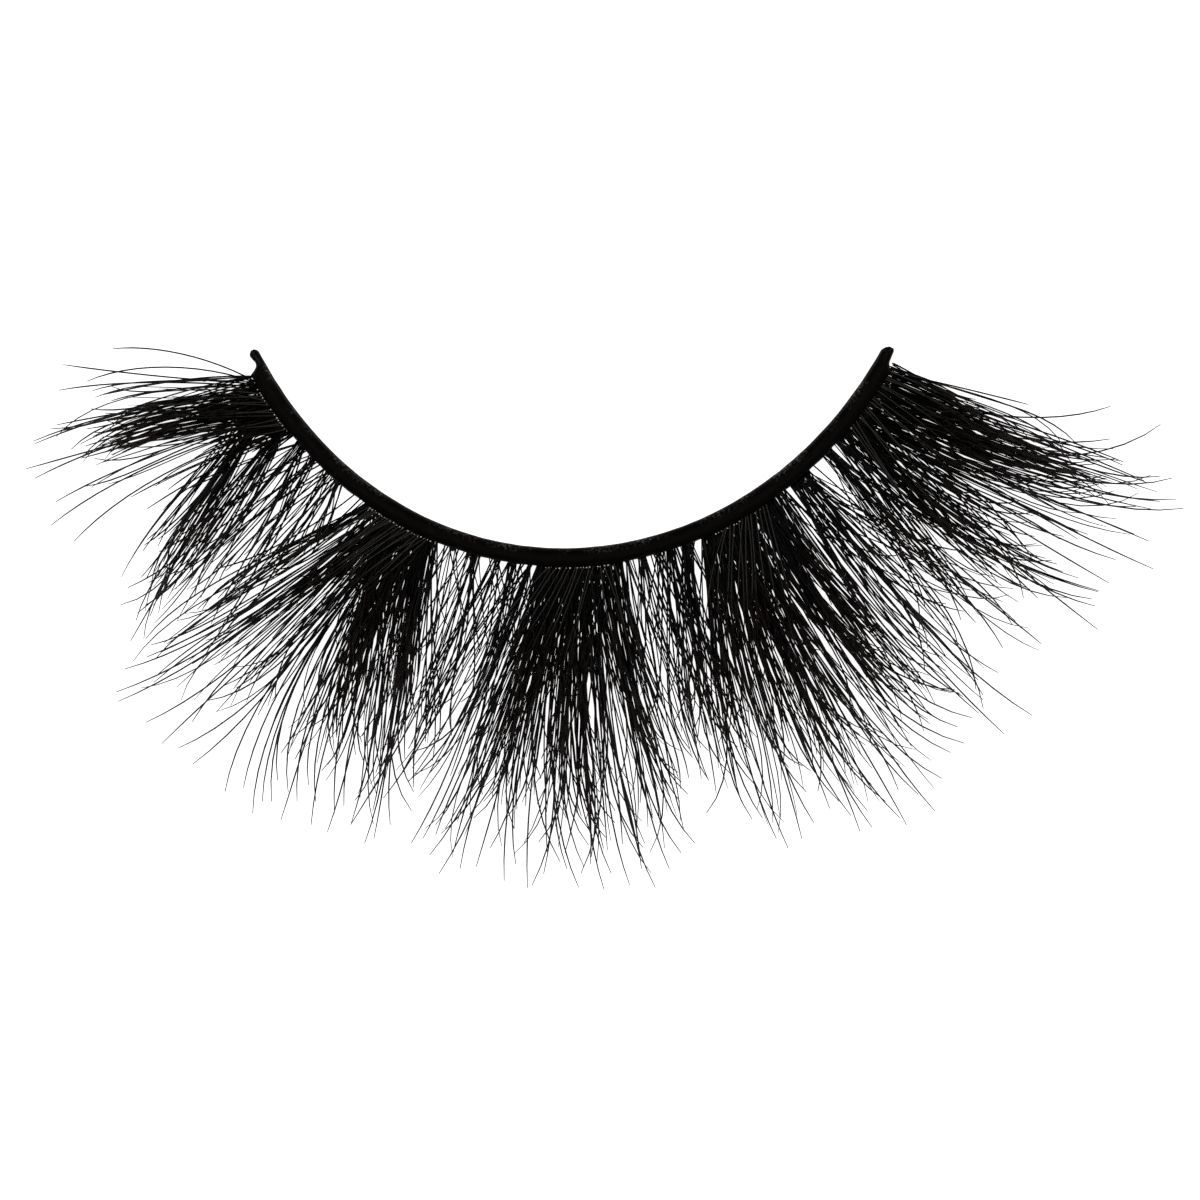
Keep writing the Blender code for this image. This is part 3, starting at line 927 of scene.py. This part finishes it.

# Painted highlight on the beads: pale and glossy, dimmer from place to place by a noise
highlight_paint = bpy.data.materials.new("painted_highlight")
highlight_paint.use_nodes = True
tree = highlight_paint.node_tree
surface = tree.nodes["Principled BSDF"]
place = add_node(tree, "ShaderNodeTexCoord")
mottle = add_node(tree, "ShaderNodeTexNoise", inputs={
    "Vector": place.outputs["Object"], "Scale": 1 / MOTTLE_SIZE, "Detail": 3.0})
cloud = add_node(tree, "ShaderNodeMapRange", inputs={
    "Value": mottle.outputs["Fac"], "From Min": 0.40, "From Max": 0.65})
tint = add_node(tree, "ShaderNodeMix", {"data_type": "RGBA"}, {
    "Factor": cloud.outputs["Result"], "A": linear(HIGHLIGHT_PALE), "B": linear(HIGHLIGHT_DIM)})
gloss = add_node(tree, "ShaderNodeMapRange", inputs={
    "Value": mottle.outputs["Fac"], "To Min": 0.15, "To Max": 0.50})
relief = add_node(tree, "ShaderNodeBump", inputs={
    "Height": mottle.outputs["Fac"], "Strength": 0.3, "Distance": 0.00001})
tree.links.new(tint.outputs["Result"], surface.inputs["Base Color"])
tree.links.new(gloss.outputs["Result"], surface.inputs["Roughness"])
tree.links.new(relief.outputs["Normal"], surface.inputs["Normal"])
surface.inputs["IOR"].default_value = 1.5
highlight_beads.data.materials.append(highlight_paint)
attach(highlight_beads, "root")


# Cover lashes
# Finer fibres laid over the root of each dense fan at another slant, which hide its glue. They lie on top,
# so they catch the soft boxes' light, and their grey colour adds a painted highlight along them. Headings
# are in degrees from straight down the picture, positive to the right.
Cover = namedtuple("Cover", "root_from root_to heading_from heading_to number length")
COVERS = (
    Cover(0.050, 0.108, -92, -84, 12, 0.0062),
    Cover(0.240, 0.325, -58, -52, 22, 0.0052),
    Cover(0.470, 0.530, -38, -14, 11, 0.0056),
    Cover(0.530, 0.556, 8, 18, 4, 0.0060),
    Cover(0.690, 0.752, -8, 12, 13, 0.0062),
    Cover(0.885, 0.975, 34, 62, 16, 0.0066),
)
COVER_WIDTH = 0.000040
COVER_LOW = 0.00042
COVER_LAYER = 0.00006
COVER_TURN = 2.5
COVER_LENGTHS = (0.6, 1.1)
COVER_BOW = 12.0
COVER_CURLS = (14.0, 24.0)
COVER_SHEEN_TONES = (0.9, 1.0)

numbers = [row.number for row in COVERS]
along_row = along_rows(numbers)
row_values = np.repeat(np.array(COVERS, dtype=float), numbers, axis=0)
root = on_band(row_values[:, 0] + along_row * (row_values[:, 1] - row_values[:, 0]), BAND_WIDTH)
heading = row_values[:, 2] + along_row * (row_values[:, 3] - row_values[:, 2])
number = len(heading)
heading = np.radians(heading + chance.normal(0.0, COVER_TURN, number))
reach = row_values[:, 5] * chance.uniform(*COVER_LENGTHS, number)
tip = root + reach[:, None] * np.stack((np.sin(heading), -np.cos(heading)), axis=1)
lines = strand_lines(
    root, tip,
    np.radians(chance.normal(0.0, COVER_BOW, number)),
    np.zeros(number),
    np.radians(chance.uniform(*COVER_CURLS, number)),
    COVER_LOW + chance.uniform(0.0, COVER_LAYER, number),
)
# High tones make these fibres grey: a painted highlight along the cover lashes
tones_and_sheen = chance.uniform(*COVER_SHEEN_TONES, number)
mesh = strand_mesh("cover_lashes", lines, np.full(number, COVER_WIDTH), tones_and_sheen)
mesh.materials.append(fibre)
cover_lashes = bpy.data.objects.new("cover_lashes", mesh)
bpy.context.scene.collection.objects.link(cover_lashes)
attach(cover_lashes, "root")


# Stray lashes
# Single long fibres that have sprung out of their bundles, longer and more bent than the rest. A row holds
# a root, a share of the band's length, the fibre's end in millimetres, and its bow and flick in degrees.
Stray = namedtuple("Stray", "root x y bow flick")
STRAYS = (
    Stray(0.037, -19.4, 9.0, 32, 4),
    Stray(0.038, -20.5, 7.6, 38, 6),
    Stray(0.040, -21.5, 8.3, -4, 0),
    Stray(0.045, -21.7, 7.2, 14, 4),
    Stray(0.050, -22.7, 4.9, 22, 0),
    Stray(0.053, -22.8, 5.0, 20, 2),
    Stray(0.058, -21.8, 5.7, 10, 0),
    Stray(0.076, -22.7, 3.4, 22, 2),
    Stray(0.082, -23.1, 3.8, 14, -4),
    Stray(0.090, -21.8, 2.4, 18, 2),
    Stray(0.096, -22.0, 1.4, 24, 4),
    Stray(0.103, -21.0, 0.7, 30, 6),
    Stray(0.110, -18.6, 2.6, 16, 0),
    Stray(0.113, -17.9, 2.1, 14, 0),
    Stray(0.165, -18.7, -1.3, 16, -20),
    Stray(0.160, -18.3, -2.4, 20, -14),
    Stray(0.172, -16.4, -1.1, 14, 0),
    Stray(0.180, -15.5, -4.4, -6, 10),
    Stray(0.185, -13.0, -1.5, -4, 6),
    Stray(0.220, -15.0, -0.5, -20, -8),
    Stray(0.250, -19.2, -5.8, -24, -4),
    Stray(0.262, -19.1, -6.2, -14, -6),
    Stray(0.285, -16.5, -8.2, -20, -14),
    Stray(0.288, -12.9, -10.5, 30, 12),
    Stray(0.292, -12.5, -10.5, 36, 16),
    Stray(0.300, -11.4, -10.5, 30, 14),
    Stray(0.305, -10.8, -11.5, 20, 6),
    Stray(0.268, -9.8, -11.0, 10, 10),
    Stray(0.300, -9.1, -11.5, -4, -4),
    Stray(0.305, -8.1, -12.1, 0, -4),
    Stray(0.318, -6.5, -10.9, 8, 44),
    Stray(0.322, -6.4, -10.1, 6, 40),
    Stray(0.345, -6.4, -9.9, 4, 10),
    Stray(0.405, -9.1, -11.5, -8, 0),
    Stray(0.432, -6.5, -12.3, -12, -6),
    Stray(0.440, -6.0, -12.1, -10, -6),
    Stray(0.415, -7.1, -9.6, -4, -4),
    Stray(0.466, -5.3, -13.6, -16, -8),
    Stray(0.480, -3.7, -13.3, -4, 0),
    Stray(0.487, -2.5, -13.9, 8, 10),
    Stray(0.498, -1.5, -14.2, 10, 6),
    Stray(0.500, -1.3, -14.1, -8, -20),
    Stray(0.530, 0.8, -13.6, -10, -22),
    Stray(0.490, 0.7, -14.2, 20, 14),
    Stray(0.470, -0.1, -13.1, 22, 20),
    Stray(0.523, 1.8, -14.3, 12, 12),
    Stray(0.530, 2.9, -14.1, 12, 10),
    Stray(0.538, 4.0, -14.2, 14, 14),
    Stray(0.545, 4.6, -13.4, 8, 10),
    Stray(0.552, 5.7, -12.3, 12, 26),
    Stray(0.556, 5.4, -10.2, 20, 26),
    Stray(0.630, 6.2, -11.0, -20, -44),
    Stray(0.640, 8.4, -9.9, 20, 24),
    Stray(0.618, 6.3, -9.6, 10, 24),
    Stray(0.672, 7.7, -10.5, 8, 8),
    Stray(0.676, 9.2, -12.1, 14, 8),
    Stray(0.684, 9.7, -12.5, 14, 6),
    Stray(0.690, 10.8, -11.4, 10, 12),
    Stray(0.698, 11.5, -10.8, 12, -8),
    Stray(0.705, 12.4, -11.1, 10, 14),
    Stray(0.712, 13.3, -11.6, 8, 10),
    Stray(0.720, 14.5, -11.2, 14, 14),
    Stray(0.733, 16.0, -10.9, 10, 6),
    Stray(0.728, 15.3, -10.2, 16, 10),
    Stray(0.740, 17.3, -8.0, 36, 20),
    Stray(0.745, 16.9, -5.7, 44, 24),
    Stray(0.752, 17.0, -7.3, 20, 26),
    Stray(0.805, 15.6, -4.8, -16, -30),
    Stray(0.825, 17.8, -5.7, -22, -26),
    Stray(0.812, 18.1, -6.5, -8, -30),
    Stray(0.780, 17.9, -6.7, 10, 4),
    Stray(0.792, 19.0, -7.6, 10, 2),
    Stray(0.804, 20.2, -6.8, 14, 8),
    Stray(0.880, 23.0, -3.1, -2, 0),
    Stray(0.884, 22.9, -2.1, 24, 10),
    Stray(0.890, 22.8, -1.8, 26, 18),
    Stray(0.895, 23.5, -1.1, 2, 0),
    Stray(0.900, 25.4, -0.5, -2, 4),
    Stray(0.903, 23.8, -0.1, 4, 12),
    Stray(0.909, 25.2, 0.7, 0, 0),
    Stray(0.925, 25.7, 5.7, 52, 18),
    Stray(0.930, 26.7, 2.1, 22, 18),
    Stray(0.935, 26.4, 2.5, 18, 16),
    Stray(0.940, 26.2, 3.4, 24, 24),
    Stray(0.948, 25.7, 2.4, 12, 14),
    Stray(0.956, 25.2, 3.2, 0, 0),
    Stray(0.962, 25.0, 3.3, -6, 0),
    Stray(0.935, 23.6, 5.1, 22, 10),
    Stray(0.950, 23.6, 6.5, 30, 10),
    Stray(0.972, 20.1, 6.6, -4, 0),
    Stray(0.256, -18.8, -4.8, -18, -8),
    Stray(0.268, -17.9, -7.1, -14, -10),
    Stray(0.274, -17.2, -8.0, -10, 8),
    Stray(0.280, -15.9, -8.9, -6, -12),
    Stray(0.284, -14.5, -10.1, 20, 16),
    Stray(0.287, -13.7, -9.9, 26, 10),
    Stray(0.291, -13.3, -11.0, 30, 14),
    Stray(0.296, -12.1, -11.3, 28, -10),
    Stray(0.299, -11.8, -10.1, 34, 20),
    Stray(0.303, -10.6, -10.5, 26, 18),
    Stray(0.308, -10.1, -11.8, 14, -12),
    Stray(0.313, -9.4, -10.7, 10, 16),
    Stray(0.320, -8.5, -12.3, 6, -14),
    Stray(0.326, -7.4, -11.5, 4, 16),
    Stray(0.452, -4.7, -12.7, -12, 10),
    Stray(0.462, -5.7, -12.8, -18, -12),
    Stray(0.474, -4.4, -13.4, -8, 14),
    Stray(0.484, -3.1, -12.5, -6, -18),
    Stray(0.494, -2.0, -13.2, 10, 18),
    Stray(0.506, -0.8, -13.6, 12, -16),
    Stray(0.512, 0.2, -13.4, 16, 18),
    Stray(0.518, 1.2, -13.2, 14, -14),
    Stray(0.526, 2.1, -13.6, 12, 20),
    Stray(0.534, 3.4, -13.4, 14, -12),
    Stray(0.548, 5.1, -12.7, 14, 22),
    Stray(0.679, 8.6, -11.2, 18, 20),
    Stray(0.686, 10.3, -12.1, 12, -10),
    Stray(0.693, 10.5, -10.1, 18, 24),
    Stray(0.701, 11.9, -10.5, 14, 20),
    Stray(0.708, 12.8, -11.8, 12, -12),
    Stray(0.716, 13.9, -10.5, 18, 22),
    Stray(0.724, 14.8, -11.5, 14, -8),
    Stray(0.730, 16.3, -9.5, 24, 18),
    Stray(0.737, 16.7, -8.4, 22, 20),
    Stray(0.743, 17.6, -6.9, 28, 22),
)
STRAY_WIDTH = 0.000068
STRAY_CURLS = (44.0, 54.0)
STRAY_LOWS = (0.00020, 0.00036)
STRAY_PALEST = 0.7

strays = np.array(STRAYS)
number = len(strays)
lines = strand_lines(
    on_band(strays[:, 0], BAND_WIDTH - ROOT_INSIDE / 2),
    strays[:, 1:3] / 1000,
    np.radians(strays[:, 3]),
    np.radians(strays[:, 4]),
    np.radians(chance.uniform(*STRAY_CURLS, number)),
    chance.uniform(*STRAY_LOWS, number),
)
tones_and_sheen = chance.uniform(0.0, STRAY_PALEST, number)
mesh = strand_mesh("stray_lashes", lines, np.full(number, STRAY_WIDTH), tones_and_sheen)
mesh.materials.append(fibre)
stray_lashes = bpy.data.objects.new("stray_lashes", mesh)
bpy.context.scene.collection.objects.link(stray_lashes)
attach(stray_lashes, "root")


# Sizes
# The box of the imported part and of what is shown.
sizes = {"frame": [list(map(float, corner)) for corner in frame_box]}
sizes["shown"] = [list(map(float, corner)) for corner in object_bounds()]
